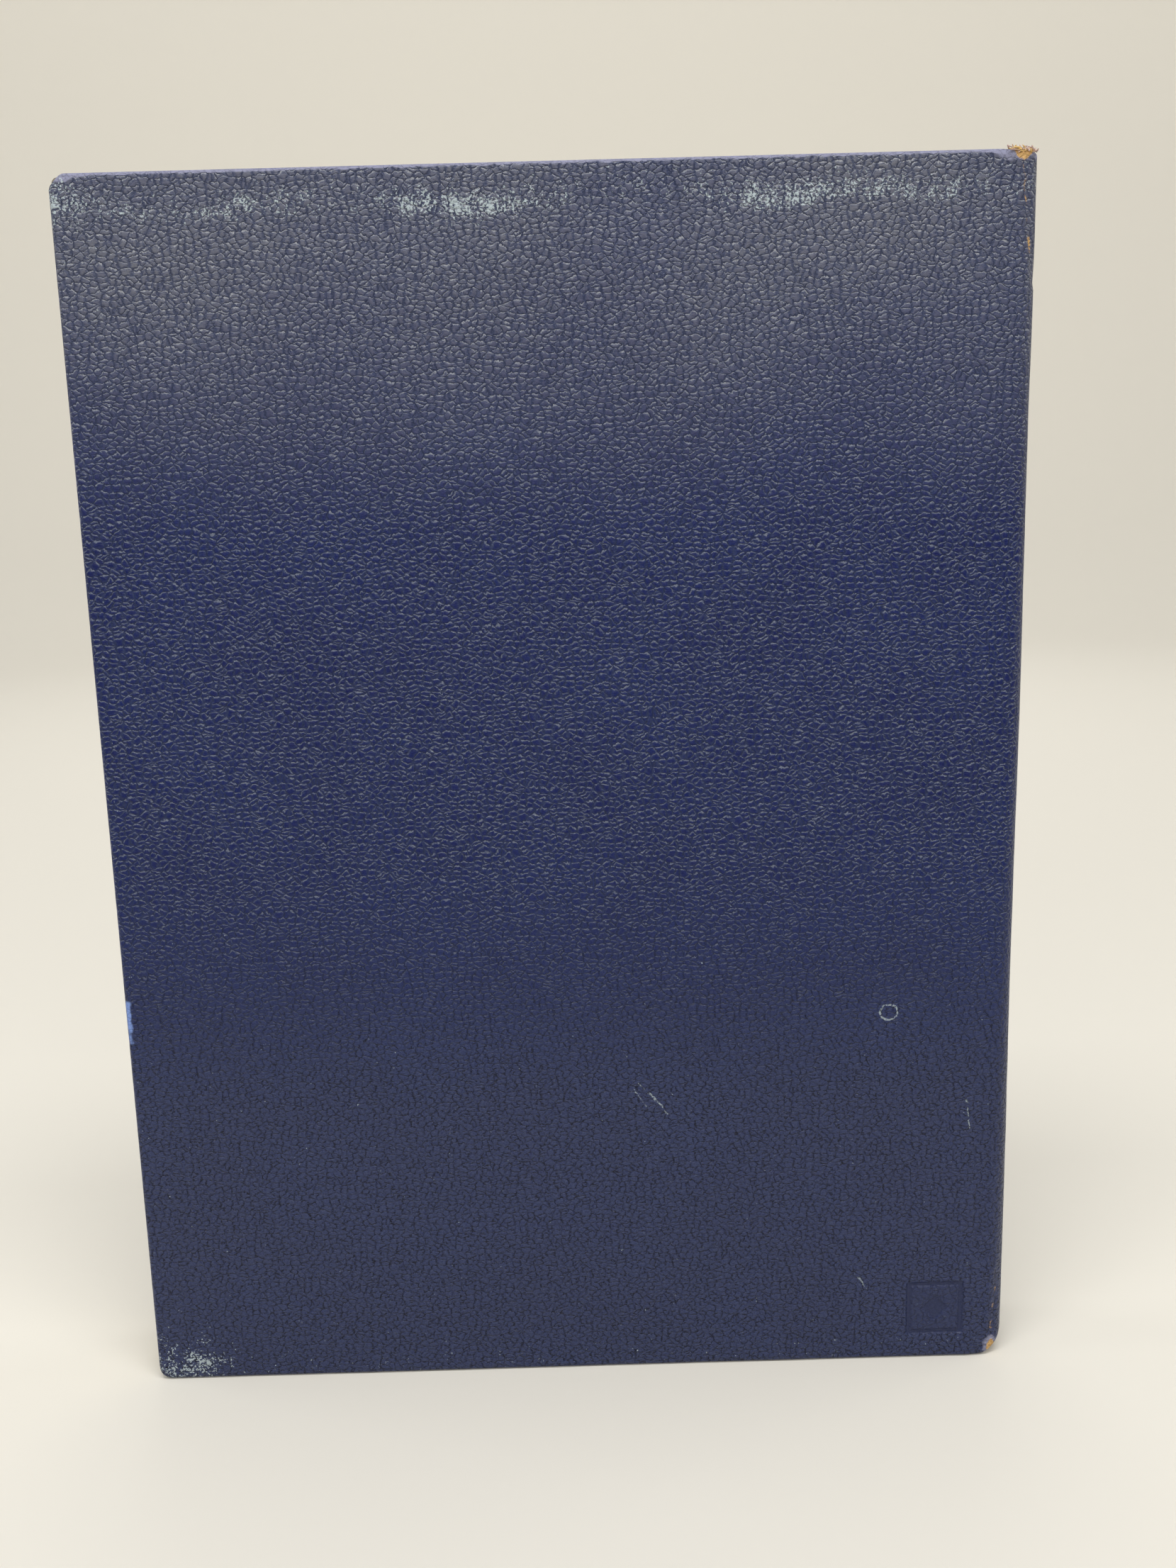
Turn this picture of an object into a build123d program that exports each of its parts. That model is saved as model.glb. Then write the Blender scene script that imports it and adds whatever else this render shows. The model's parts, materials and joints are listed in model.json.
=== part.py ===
from build123d import *
import os

# A case-bound pilot logbook, closed and standing on its lower edges. Millimetres.
# +Z is up, +X points at the spine and -Y at the back cover. The origin is the middle
# of the footprint. "Depth" is the distance from the book's middle plane towards
# either cover, so one function makes the front piece (side +1) and the back (side -1).

# ---- Driving sizes ----
BOOK_WIDTH = 203.0
BOOK_HEIGHT = 273.0
BOOK_THICKNESS = 24.0

LEATHER = 0.8
TURN_IN = 0.5
TURN_IN_WIDTH = 15.0
BOARD = 2.0
PASTEDOWN = 0.2
PASTEDOWN_MARGIN = 3.6
FORE_CORNER_RADIUS = 2.0
TAIL_CORNER_RADIUS = 7.0

JOINT_WIDTH = 8.0
JOINT_RADIUS = 5.0
JOINT_START_DEG = 4.0
HINGE_CLEARANCE = 0.3

SQUARE = 3.2
SECTION_COUNT = 8
BACK_RADIUS = 16.4
BACK_CREST_INSET = 3.9

LEAVES_PER_SIDE = 5
LEAF = 0.17
LEAF_PITCH = 0.21
LEAF_FIRST_GAP = 0.04
COVER_GAP = 0.15
LEAF_HINGE_INSET = 5.3

TAPE_COUNT = 4
TAPE_WIDTH = 12.0
TAPE = 0.28
THREAD = 0.24
THREAD_WIDTH = 0.5
MULL = 0.2
KRAFT = 0.25
LINING_HALF_DEPTH = 5.5
BAND_BEAD_HEIGHT = 1.6
BAND_SKIRT = 12.0

SPINE_CARD = 1.2
SPINE_TAIL = 5.0
SPINE_FLAP = 12.0

MARK_SIZE = 13.0
MARK_LINE = 0.7
MARK_DEPTH = 0.25
MARK_FROM_SPINE = 17.0
MARK_FROM_TAIL = 13.0

FIT = 0.05

# ---- Worked out from them ----
SPINE_X = BOOK_WIDTH / 2
FORE_X = -SPINE_X
OUTER = BOOK_THICKNESS / 2
BOARD_OUTER = OUTER - LEATHER
BOARD_INNER = BOARD_OUTER - BOARD
LINING_INNER = BOARD_INNER - TURN_IN
PASTE_INNER = LINING_INNER - PASTEDOWN
BOARD_EDGE_X = SPINE_X - JOINT_WIDTH
HINGE_DEPTH = OUTER - JOINT_RADIUS
JOINT_CENTRE_X = SPINE_X - JOINT_RADIUS
BLOCK_DEPTH = PASTE_INNER - COVER_GAP - LEAVES_PER_SIDE * LEAF_PITCH
BLOCK_FORE_X = FORE_X + SQUARE
BLOCK_TAIL = SQUARE
BLOCK_HEAD = BOOK_HEIGHT - SQUARE
BACK_CENTRE_X = SPINE_X - BACK_CREST_INSET - BACK_RADIUS
LEAF_HINGE_X = SPINE_X - LEAF_HINGE_INSET
WING_EDGE_X = BOARD_EDGE_X - 26.0


def slab(side, x_range, depth_range, z_range):
    """A box between two values of x, of depth on the given side, and of z."""
    x0, x1 = x_range
    d0, d1 = depth_range
    z0, z1 = z_range
    centre = ((x0 + x1) / 2, side * (d0 + d1) / 2, (z0 + z1) / 2)
    return Pos(*centre) * Box(x1 - x0, d1 - d0, z1 - z0)


def middle_slab(x_range, half_depth, z_range):
    """A box that is centred on the book's middle plane."""
    return slab(1, x_range, (-half_depth, half_depth), z_range)


def upright(radius, centre_x, centre_y, z_range):
    """A cylinder that stands along Z."""
    z0, z1 = z_range
    return Pos(centre_x, centre_y, (z0 + z1) / 2) * Cylinder(radius, z1 - z0)


def back_ring(inner, thickness, z_range, half_depth=LINING_HALF_DEPTH):
    """A curved strip that follows the text block's rounded back, inner mm behind it."""
    radius = BACK_RADIUS + inner
    ring = upright(radius + thickness, BACK_CENTRE_X, 0, z_range)
    ring -= upright(radius, BACK_CENTRE_X, 0, z_range)
    return ring & middle_slab((BACK_CENTRE_X, SPINE_X), half_depth, z_range)


def y_edges_at(shape, x, z_values):
    """The edges along Y at one x and at any of the z values."""
    along = shape.edges().filter_by(Axis.Y)
    return [e for e in along
            if abs(e.center().X - x) < FIT and min(abs(e.center().Z - z) for z in z_values) < FIT]


# ---- Covers ----

def board(side):
    """Binder's board, with slightly eased corners at the fore edge."""
    z_range = (LEATHER, BOOK_HEIGHT - LEATHER)
    plate = slab(side, (FORE_X + LEATHER, BOARD_EDGE_X), (BOARD_INNER, BOARD_OUTER), z_range)
    corners = y_edges_at(plate, FORE_X + LEATHER, z_range)
    return fillet(corners, FORE_CORNER_RADIUS - LEATHER)


def joint_curve(side):
    """The leather that rounds the joint, from the board's plane to beside the hinge."""
    z_range = (0, BOOK_HEIGHT)
    centre_y = side * HINGE_DEPTH
    ring = upright(JOINT_RADIUS, JOINT_CENTRE_X, centre_y, z_range)
    ring -= upright(JOINT_RADIUS - LEATHER, JOINT_CENTRE_X, centre_y, z_range)
    quarter = slab(side, (JOINT_CENTRE_X, SPINE_X), (HINGE_DEPTH + HINGE_CLEARANCE, OUTER), z_range)
    return ring & quarter


def tail_corner(side):
    """What is cut away where the spine's tail corner is worn round."""
    r = TAIL_CORNER_RADIUS
    block = slab(side, (SPINE_X - r, SPINE_X + 1), (HINGE_DEPTH - 1, OUTER + 1), (-1, r))
    turn = Pos(SPINE_X - r, side * OUTER, r) * Rot(90, 0, 0) * Cylinder(r, 4 * OUTER)
    return block - turn


def blind_mark():
    """A plain sunk frame with a small sunk tile inside, pressed into the back cover."""
    centre = (SPINE_X - MARK_FROM_SPINE, -OUTER, MARK_FROM_TAIL)
    depth = 2 * MARK_DEPTH
    frame = Box(MARK_SIZE, depth, MARK_SIZE)
    frame -= Box(MARK_SIZE - 2 * MARK_LINE, depth, MARK_SIZE - 2 * MARK_LINE)
    tile = Rot(0, 45, 0) * Box(MARK_SIZE / 3, depth, MARK_SIZE / 3)
    return Pos(*centre) * (frame + tile)


def cover_leather(side):
    """The covering of one board: face, wrapped edges, turn-ins, and the rounded joint."""
    full_height = (0, BOOK_HEIGHT)
    wrap = slab(side, (FORE_X, BOARD_EDGE_X), (LINING_INNER, OUTER), full_height)
    wrap = fillet(y_edges_at(wrap, FORE_X, full_height), FORE_CORNER_RADIUS)
    wrap -= slab(side, (FORE_X + LEATHER, BOARD_EDGE_X), (BOARD_INNER, BOARD_OUTER),
                 (LEATHER, BOOK_HEIGHT - LEATHER))
    wrap -= slab(side, (FORE_X + TURN_IN_WIDTH, BOARD_EDGE_X), (LINING_INNER, BOARD_INNER),
                 (TURN_IN_WIDTH, BOOK_HEIGHT - TURN_IN_WIDTH))
    wrap += slab(side, (BOARD_EDGE_X, JOINT_CENTRE_X), (BOARD_OUTER, OUTER), full_height)
    wrap += joint_curve(side)
    wrap -= tail_corner(side)
    if side < 0:
        wrap -= blind_mark()
    return wrap


def infill(side):
    """The card that levels the board's inside between the turn-ins."""
    z_range = (TURN_IN_WIDTH + FIT, BOOK_HEIGHT - TURN_IN_WIDTH - FIT)
    x_range = (FORE_X + TURN_IN_WIDTH + FIT, WING_EDGE_X - FIT)
    return slab(side, x_range, (LINING_INNER, BOARD_INNER), z_range)


def mull_wing(side):
    """The flap of gauze that is glued to the board."""
    z_range = (TURN_IN_WIDTH + 1, BOOK_HEIGHT - TURN_IN_WIDTH - 1)
    return slab(side, (WING_EDGE_X, BOARD_EDGE_X), (BOARD_INNER - MULL, BOARD_INNER), z_range)


def tape_heights():
    """The middle height of each sewing tape."""
    pitch = (BLOCK_HEAD - BLOCK_TAIL) / (TAPE_COUNT + 1)
    return [BLOCK_TAIL + pitch * (i + 1) for i in range(TAPE_COUNT)]


def tape_ends(side):
    """The ends of the sewing tapes, glued over the gauze on the board."""
    ends = []
    depths = (LINING_INNER, BOARD_INNER - MULL)
    for z in tape_heights():
        z_range = (z - TAPE_WIDTH / 2, z + TAPE_WIDTH / 2)
        ends.append(slab(side, (WING_EDGE_X + 2, BOARD_EDGE_X), depths, z_range))
    return Compound(children=ends)


def pastedown(side):
    """The half of the endpaper that is glued inside the cover."""
    z_range = (PASTEDOWN_MARGIN, BOOK_HEIGHT - PASTEDOWN_MARGIN)
    x_range = (FORE_X + PASTEDOWN_MARGIN, BOARD_EDGE_X)
    return slab(side, x_range, (PASTE_INNER, LINING_INNER), z_range)


# ---- Leaves that turn ----

def leaf(side, index):
    """One loose-turning leaf. Index 0 lies on the sewn sections, the last is the flyleaf."""
    bottom = BLOCK_DEPTH + LEAF_FIRST_GAP + index * LEAF_PITCH
    return slab(side, (BLOCK_FORE_X, LEAF_HINGE_X), (bottom, bottom + LEAF), (BLOCK_TAIL, BLOCK_HEAD))


# ---- Text block ----

def section(index):
    """One sewn section, with a rounded back and the matching hollow at its fore edge."""
    thickness = 2 * BLOCK_DEPTH / SECTION_COUNT
    low = -BLOCK_DEPTH + index * thickness
    z_range = (BLOCK_TAIL, BLOCK_HEAD)
    body = slab(1, (BLOCK_FORE_X, BACK_CENTRE_X + BACK_RADIUS), (low, low + thickness), z_range)
    back = upright(BACK_RADIUS, BACK_CENTRE_X, 0, z_range)
    back += middle_slab((BLOCK_FORE_X, BACK_CENTRE_X), BLOCK_DEPTH, z_range)
    shoulder_x = BACK_CENTRE_X + (BACK_RADIUS ** 2 - BLOCK_DEPTH ** 2) ** 0.5
    leaf_width = shoulder_x - BLOCK_FORE_X
    hollow = upright(BACK_RADIUS, BACK_CENTRE_X - leaf_width, 0, z_range)
    return (body & back) - hollow


def sewing_tapes():
    """The linen tapes across the back."""
    tapes = []
    for z in tape_heights():
        tapes.append(back_ring(FIT, TAPE, (z - TAPE_WIDTH / 2, z + TAPE_WIDTH / 2)))
    return Compound(children=tapes)


def sewing_thread():
    """Where the thread of each section passes over each tape."""
    stitches = []
    radius = BACK_RADIUS + 2 * FIT + TAPE + THREAD / 2
    pitch = 2 * (LINING_HALF_DEPTH - THREAD_WIDTH) / (SECTION_COUNT - 1)
    for z in tape_heights():
        for i in range(SECTION_COUNT):
            y = (i - (SECTION_COUNT - 1) / 2) * pitch
            x = BACK_CENTRE_X + (radius ** 2 - y ** 2) ** 0.5
            stitch = Pos(x, y, z) * Cylinder(THREAD / 2, TAPE_WIDTH + 1)
            stitches.append(stitch)
    return Compound(children=stitches)


def mull_offset():
    """How far behind the sections the gauze lies: past the tapes and the thread."""
    return 3 * FIT + TAPE + THREAD


def spine_mull():
    """The gauze across the back."""
    return back_ring(mull_offset(), MULL, (TURN_IN_WIDTH + 1, BOOK_HEIGHT - TURN_IN_WIDTH - 1))


def kraft_lining():
    """The brown paper lining over the gauze."""
    return back_ring(mull_offset() + MULL + FIT, KRAFT, (BLOCK_TAIL + 3, BLOCK_HEAD - 3))


def end_band(block_end, outward):
    """A worked band at the head (outward +1) or the tail (-1) of the back."""
    bead_start = block_end + outward * FIT
    bead_range = sorted((bead_start, bead_start + outward * BAND_BEAD_HEIGHT))
    skirt_range = sorted((bead_start, block_end - outward * BAND_SKIRT))
    bead = back_ring(-1.0, 1.6, bead_range)
    return bead + back_ring(FIT, TAPE, skirt_range)


# ---- Spine of the case ----

def spine_leather():
    """The leather over the spine, turned in over the card at the head and the tail."""
    flap_x = SPINE_X - LEATHER - 2 * FIT - SPINE_CARD - TURN_IN
    z_range = (SPINE_TAIL, BOOK_HEIGHT)
    half = HINGE_DEPTH - HINGE_CLEARANCE
    wrap = middle_slab((flap_x, SPINE_X), half, z_range)
    card_room = (flap_x + TURN_IN, SPINE_X - LEATHER)
    wrap -= middle_slab(card_room, half + 1, (SPINE_TAIL + LEATHER, BOOK_HEIGHT - LEATHER))
    flap_room = (flap_x - 1, flap_x + TURN_IN)
    wrap -= middle_slab(flap_room, half + 1, (SPINE_TAIL + SPINE_FLAP, BOOK_HEIGHT - SPINE_FLAP))
    return wrap


def spine_card():
    """The stiffener inside the spine."""
    x1 = SPINE_X - LEATHER - FIT
    z_range = (SPINE_TAIL + LEATHER + FIT, BOOK_HEIGHT - LEATHER - FIT)
    return middle_slab((x1 - SPINE_CARD, x1), HINGE_DEPTH - 2 * HINGE_CLEARANCE, z_range)


def cover_nodes(prefix, side):
    """Every piece that belongs to one cover, and the leaves beside it."""
    nodes = {
        prefix + "_board": board(side),
        prefix + "_leather": cover_leather(side),
        prefix + "_infill": infill(side),
        prefix + "_mull_wing": mull_wing(side),
        prefix + "_tape_ends": tape_ends(side),
        prefix + "_pastedown": pastedown(side),
        prefix + "_flyleaf": leaf(side, LEAVES_PER_SIDE - 1),
    }
    for number in range(1, LEAVES_PER_SIDE):
        nodes[prefix + "_leaf_" + str(number)] = leaf(side, LEAVES_PER_SIDE - 1 - number)
    return nodes


def block_nodes():
    """The text block and the spine of the case."""
    nodes = {
        "spine_leather": spine_leather(),
        "spine_card": spine_card(),
        "kraft_lining": kraft_lining(),
        "spine_mull": spine_mull(),
        "sewing_tapes": sewing_tapes(),
        "sewing_thread": sewing_thread(),
        "head_band": end_band(BLOCK_HEAD, 1),
        "tail_band": end_band(BLOCK_TAIL, -1),
    }
    for index in range(SECTION_COUNT):
        nodes["section_" + str(index + 1)] = section(index)
    return nodes


def main():
    os.makedirs("parts", exist_ok=True)
    nodes = {**cover_nodes("front", 1), **cover_nodes("back", -1), **block_nodes()}
    for name, shape in nodes.items():
        export_step(shape, "parts/" + name + ".step")
    print(len(nodes), "nodes; block depth", BLOCK_DEPTH, "leaf hinge", LEAF_HINGE_X)


main()
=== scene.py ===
import json
import math
import random

import bpy
from mathutils import Matrix, Vector, noise


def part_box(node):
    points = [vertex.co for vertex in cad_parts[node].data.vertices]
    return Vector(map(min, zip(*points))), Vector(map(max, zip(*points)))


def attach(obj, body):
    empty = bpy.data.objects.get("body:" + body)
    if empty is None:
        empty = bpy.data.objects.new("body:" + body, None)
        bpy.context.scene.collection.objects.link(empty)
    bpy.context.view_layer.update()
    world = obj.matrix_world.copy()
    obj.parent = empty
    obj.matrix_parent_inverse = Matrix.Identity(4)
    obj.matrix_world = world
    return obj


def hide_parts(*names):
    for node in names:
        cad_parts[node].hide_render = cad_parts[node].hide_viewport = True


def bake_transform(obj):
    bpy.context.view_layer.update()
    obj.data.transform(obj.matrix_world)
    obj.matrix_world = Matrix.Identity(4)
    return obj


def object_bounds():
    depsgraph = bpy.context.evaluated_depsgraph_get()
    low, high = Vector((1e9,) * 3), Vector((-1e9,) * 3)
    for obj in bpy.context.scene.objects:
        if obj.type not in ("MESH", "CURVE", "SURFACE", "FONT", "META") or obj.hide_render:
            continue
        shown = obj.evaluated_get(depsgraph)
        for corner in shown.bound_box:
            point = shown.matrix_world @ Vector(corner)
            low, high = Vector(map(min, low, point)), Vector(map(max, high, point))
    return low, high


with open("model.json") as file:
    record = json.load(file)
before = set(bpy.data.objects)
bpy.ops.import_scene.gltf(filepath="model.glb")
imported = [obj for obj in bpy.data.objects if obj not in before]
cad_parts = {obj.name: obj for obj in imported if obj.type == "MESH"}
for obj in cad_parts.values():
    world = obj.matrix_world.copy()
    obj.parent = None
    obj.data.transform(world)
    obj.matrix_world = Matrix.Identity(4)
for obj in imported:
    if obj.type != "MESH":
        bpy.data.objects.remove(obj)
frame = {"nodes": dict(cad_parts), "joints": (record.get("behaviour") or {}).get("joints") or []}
cad_low, cad_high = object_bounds()

# A closed pilot logbook. x runs to the spine, y to the front cover, z up, in metres.
# "Depth" is the distance from the book's middle plane, so a side of -1 is the back.

MM = 0.001


def hinge(name):
    """The point that a joint turns about."""
    return Vector(next(j["pos_m"] for j in frame["joints"] if j["name"] == name))


# ---- Sizes read from the frame ----
SPINE_X = cad_high.x
FORE_X = cad_low.x
OUTER = cad_high.y
HEIGHT = cad_high.z
BOARD_EDGE_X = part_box("front_board")[1].x
HINGE_DEPTH = hinge("front_cover_hinge").y
JOINT_RADIUS = OUTER - HINGE_DEPTH
JOINT_CENTRE_X = SPINE_X - JOINT_RADIUS
LEAF_HINGE = hinge("front_flyleaf_turn")
BLOCK_LOW, BLOCK_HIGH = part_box("section_8")
BLOCK_DEPTH = BLOCK_HIGH.y
BLOCK_TAIL = BLOCK_LOW.z
BLOCK_HEAD = BLOCK_HIGH.z
BLOCK_FORE_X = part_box("front_leaf_1")[0].x
BACK_CREST_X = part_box("section_4")[1].x
SPINE_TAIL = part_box("spine_leather")[0].z

# ---- Sizes of the looks ----
# The leather, and how it wraps the edges
SKIN = 0.7 * MM
WRAP_INSET = 4.0 * MM
WRAP_RADIUS = 1.1 * MM
WRAP_INNER_RADIUS = 0.8 * MM
WRAP_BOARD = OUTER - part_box("front_pastedown")[1].y
WRAP_JOINT = 1.8 * MM
TURN_IN_SHOWN = 4.0 * MM
SEAM_DEPTH = 6.2 * MM
GRID_STEP = 1.6 * MM
MARK_STEP = 0.36 * MM
LOWEST = 0.02 * MM
TAIL_RADIUS = 7.0 * MM
CORNER_POWER = 3.0

# The plain pressed mark
MARK_X = SPINE_X - 17 * MM
MARK_Z = 13 * MM
MARK_HALF = 6.5 * MM
MARK_LINE = 0.7 * MM
MARK_SINK = 0.42 * MM
MARK_SOFT = 0.32 * MM
MARK_ROOM = 1.12
TILE_SHARE = 0.46
MOST_SUNK = 0.60 * MM

# The grain, in millimetres
PEBBLE = 1.38
PEBBLE_STRETCH = (0.84, 1.18, 1.0)
RIM_WIDTH = 0.20

# The sheets inside
TURN_IN = 15.0 * MM
LEAF_BEND = 14.0 * MM
LEAF_SKIN = 0.10 * MM
SHEETS_SHOWN = 11
BACK_CENTRE_X = LEAF_HINGE.x - 15.0 * MM
BACK_RADIUS = BACK_CREST_X - BACK_CENTRE_X


# ---- Small helpers ----

def mix(a, b, share):
    return a + (b - a) * share


def smoothstep(value, low, high):
    t = min(1.0, max(0.0, (value - low) / (high - low)))
    return t * t * (3 - 2 * t)


def fading(value, low, high):
    """1 below low and 0 above high, smoothly."""
    return 1 - smoothstep(value, low, high)


def bell(distance, width):
    """1 at no distance, falling away over about width."""
    return math.exp(-(distance / width) ** 2)


def evenly(start, stop, step):
    """Values from start to stop, about step apart, both ends included."""
    count = max(1, round(abs(stop - start) / step))
    return [mix(start, stop, i / count) for i in range(count + 1)]


def joined(*runs):
    """Runs of values that share their ends, as one list."""
    values = list(runs[0])
    for run in runs[1:]:
        values += run[1:]
    return values


def wave(x, y, z, wavelength, seed=0.0):
    """Smooth noise from -1 to 1."""
    return noise.noise(Vector((x / wavelength + seed, y / wavelength, z / wavelength)))


def mesh_piece(name, points, faces, smooth=True):
    mesh = bpy.data.meshes.new(name)
    mesh.from_pydata([tuple(p) for p in points], [], faces)
    mesh.update()
    mesh.polygons.foreach_set("use_smooth", [smooth] * len(mesh.polygons))
    piece = bpy.data.objects.new(name, mesh)
    bpy.context.scene.collection.objects.link(piece)
    return piece


def grid_faces(columns, rows, flip=False, start=0):
    """The quads of a grid whose points run row by row within each column."""
    faces = []
    for i in range(columns - 1):
        for j in range(rows - 1):
            a = start + i * rows + j
            quad = (a, a + rows, a + rows + 1, a + 1)
            faces.append(quad[::-1] if flip else quad)
    return faces


def store(piece, name, values):
    """Stores one number or one vector for each vertex."""
    kind = "FLOAT" if isinstance(values[0], float) else "FLOAT_VECTOR"
    attribute = piece.data.attributes.new(name, kind, "POINT")
    if kind == "FLOAT":
        attribute.data.foreach_set("value", values)
    else:
        attribute.data.foreach_set("vector", [c for v in values for c in v])


def store_rest(piece):
    """Keeps each vertex's place at rest, which the patterns follow at every pose."""
    store(piece, "rest", [v.co.copy() for v in piece.data.vertices])


def apply_modifier(piece, kind, **settings):
    bpy.context.view_layer.objects.active = piece
    modifier = piece.modifiers.new(kind.lower(), kind)
    for key, value in settings.items():
        setattr(modifier, key, value)
    with bpy.context.temp_override(object=piece, active_object=piece):
        bpy.ops.object.modifier_apply(modifier=modifier.name)


# ---- Materials ----

class Shader:
    """A material's nodes, with one short call for each kind that is used here."""

    def __init__(self, name):
        self.material = bpy.data.materials.new(name)
        self.material.use_nodes = True
        self.tree = self.material.node_tree
        self.tree.nodes.clear()

    def put(self, socket, value):
        if isinstance(value, bpy.types.NodeSocket):
            self.tree.links.new(value, socket)
        elif value is not None:
            socket.default_value = value

    def node(self, kind, *values, **named):
        made = self.tree.nodes.new("ShaderNode" + kind)
        for index, value in enumerate(values):
            self.put(made.inputs[index], value)
        for name, value in named.items():
            self.put(made.inputs[name.replace("_", " ")], value)
        return made

    def math(self, operation, a, b=0.0):
        made = self.node("Math", a, b)
        made.operation = operation
        return made.outputs[0]

    def add(self, a, b):
        return self.math("ADD", a, b)

    def times(self, a, b):
        return self.math("MULTIPLY", a, b)

    def most(self, *values):
        result = values[0]
        for value in values[1:]:
            result = self.math("MAXIMUM", result, value)
        return result

    def invert(self, value):
        return self.math("SUBTRACT", 1.0, value)

    def vector_math(self, operation, a, b=None, scale=None):
        made = self.tree.nodes.new("ShaderNodeVectorMath")
        made.operation = operation
        self.put(made.inputs[0], a)
        self.put(made.inputs[1], b)
        if scale is not None:
            self.put(made.inputs["Scale"], scale)
        return made.outputs["Value"] if operation in ("LENGTH", "DOT_PRODUCT") else made.outputs[0]

    def attribute(self, name):
        """A vector attribute, in millimetres."""
        made = self.tree.nodes.new("ShaderNodeAttribute")
        made.attribute_name = name
        return self.vector_math("SCALE", made.outputs["Vector"], scale=1000.0)

    def object_place(self):
        """Where a point of a CAD piece is, in millimetres."""
        made = self.tree.nodes.new("ShaderNodeTexCoord")
        return self.vector_math("SCALE", made.outputs["Object"], scale=1000.0)

    def number(self, name):
        made = self.tree.nodes.new("ShaderNodeAttribute")
        made.attribute_name = name
        return made.outputs["Fac"]

    def parts(self, vector):
        return self.node("SeparateXYZ", vector).outputs

    def step(self, value, low, high):
        """0 below low and 1 above high, smoothly."""
        made = self.tree.nodes.new("ShaderNodeMapRange")
        made.interpolation_type = "SMOOTHSTEP"
        self.put(made.inputs["Value"], value)
        made.inputs["From Min"].default_value = low
        made.inputs["From Max"].default_value = high
        return made.outputs[0]

    def band(self, value, centre, half, soft):
        """1 within half of the centre, and 0 further out."""
        distance = self.math("ABSOLUTE", self.math("SUBTRACT", value, centre))
        return self.invert(self.step(distance, half, half + soft))

    def noise(self, vector, size, detail=2.0, roughness=0.5, colour=False, flat=False):
        """Noise whose blobs are about size millimetres across, from 0 to 1."""
        made = self.tree.nodes.new("ShaderNodeTexNoise")
        made.noise_dimensions = "2D" if flat else "3D"
        self.put(made.inputs["Vector"], vector)
        made.inputs["Scale"].default_value = 1 / size
        made.inputs["Detail"].default_value = detail
        made.inputs["Roughness"].default_value = roughness
        return made.outputs["Color" if colour else 0]

    def cells(self, vector, size):
        """The distance from the edges of flat cells about size millimetres across."""
        made = self.tree.nodes.new("ShaderNodeTexVoronoi")
        made.voronoi_dimensions = "2D"
        made.feature = "DISTANCE_TO_EDGE"
        self.put(made.inputs["Vector"], vector)
        made.inputs["Scale"].default_value = 1 / size
        return made.outputs["Distance"]

    def stretch(self, vector, x, y, z):
        return self.vector_math("MULTIPLY", vector, (x, y, z))

    def blend(self, share, a, b):
        made = self.tree.nodes.new("ShaderNodeMix")
        made.data_type = "RGBA"
        self.put(made.inputs["Factor"], share)
        self.put(made.inputs[6], a)
        self.put(made.inputs[7], b)
        return made.outputs[2]

    def segment(self, position, start, end):
        """The distance in millimetres from a straight line between two points."""
        along = Vector(end) - Vector(start)
        offset = self.vector_math("SUBTRACT", position, tuple(start))
        share = self.vector_math("DOT_PRODUCT", offset, tuple(along / along.length_squared))
        clamped = self.node("Clamp", share).outputs[0]
        nearest = self.vector_math("SCALE", tuple(along), scale=clamped)
        return self.vector_math("LENGTH", self.vector_math("SUBTRACT", offset, nearest))

    def bump(self, height, depth):
        """height is from 0 to 1 and depth in millimetres."""
        return self.node("Bump", Height=height, Distance=depth * MM).outputs[0]

    def surface(self, colour, roughness, normal=None, **constants):
        shader = self.node("BsdfPrincipled", Base_Color=colour, Roughness=roughness, **constants)
        if normal is not None:
            self.put(shader.inputs["Normal"], normal)
        output = self.tree.nodes.new("ShaderNodeOutputMaterial")
        self.tree.links.new(shader.outputs[0], output.inputs[0])
        return self.material


def srgb(red, green, blue):
    """A colour from 0 to 255, as it looks, to the linear one that a shader takes."""
    def linear(c):
        c /= 255
        return c / 12.92 if c <= 0.04045 else ((c + 0.055) / 1.055) ** 2.4
    return (linear(red), linear(green), linear(blue), 1.0)


NAVY = srgb(8, 22, 82)
NAVY_LIGHT = srgb(18, 37, 98)
NAVY_DARK = srgb(12, 22, 60)
NAVY_DEEP = srgb(2, 13, 70)
# The next six colours are painted light in the grain: a painted shade for the creases, a painted grey sheen
# for the head, a painted sheen for the rims, two painted highlights for the upper rims, and a painted
# reflection of the pale floor for the pebbles low down.
PAINTED_CREASE_SHADE = srgb(10, 13, 32)
PAINTED_SHEEN_GREY = srgb(118, 120, 124)
PAINTED_RIM_SHEEN = srgb(42, 54, 88)
PAINTED_RIM_HIGHLIGHT = srgb(106, 113, 131)
PAINTED_HEAD_RIM_HIGHLIGHT = srgb(164, 166, 172)
PAINTED_FLOOR_REFLECTION = srgb(62, 72, 99)
LAVENDER = srgb(136, 138, 164)
SCUFF_BLUE = srgb(120, 146, 208)
FLECK = srgb(176, 190, 196)
TAN = srgb(196, 158, 104)


def point_mm(x_from_spine, z):
    """A place on the back cover's face, in millimetres, for marks in the leather."""
    return (SPINE_X / MM - x_from_spine, -OUTER / MM, z)


def shifted(s, vector, size, reach, detail=2.0):
    """The vector moved about by noise, by up to about half of reach, in millimetres."""
    drift = s.vector_math("SUBTRACT", s.noise(vector, size, detail, colour=True, flat=True), (0.5, 0.5, 0.5))
    return s.vector_math("ADD", vector, s.vector_math("SCALE", drift, scale=reach))


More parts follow.
